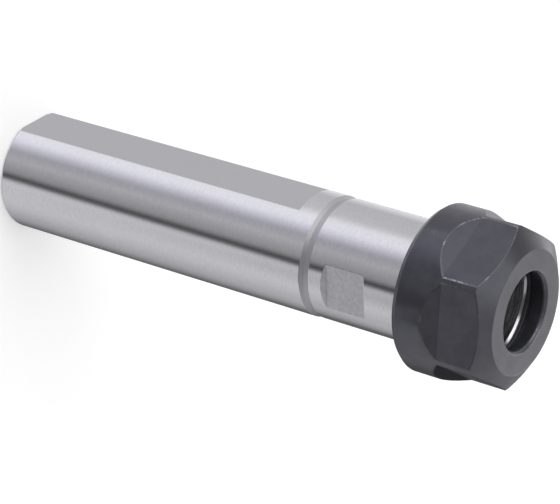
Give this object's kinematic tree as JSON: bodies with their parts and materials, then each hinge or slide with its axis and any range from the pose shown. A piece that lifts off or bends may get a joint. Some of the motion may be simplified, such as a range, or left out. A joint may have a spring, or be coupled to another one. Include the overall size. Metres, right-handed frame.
{
  "type": "collet chuck holder",
  "caption": "Straight-shank collet chuck: ground steel body with a clamping flat, wrench flats and a taper seat, and a black hexagonal clamping nut that screws on its nose.",
  "frame": {"origin": "centre of the rear face of the shank, on the tool axis", "axes": "+Z along the tool axis from the shank towards the nut; -Y out of the long clamping flat; +X and -X out of the two wrench flats"},
  "size_m": [0.034, 0.034, 0.121],
  "materials": {
    "ground_steel": "cylindrically ground, bright, fine rings round the axis",
    "black_oxide_steel": "black oxide, satin, edges worn bright"
  },
  "bodies": {
    "chuck_body": {"chuck_body": "ground_steel"},
    "clamping_nut": {"clamping_nut": "black_oxide_steel"}
  },
  "joints": [
    {"name": "nut_turn", "type": "hinge", "parent": "chuck_body", "child": "clamping_nut", "pos_m": [0, 0, 0.1086], "axis": [0, 0, 1], "range_deg": [0, 2700]}
  ]
}
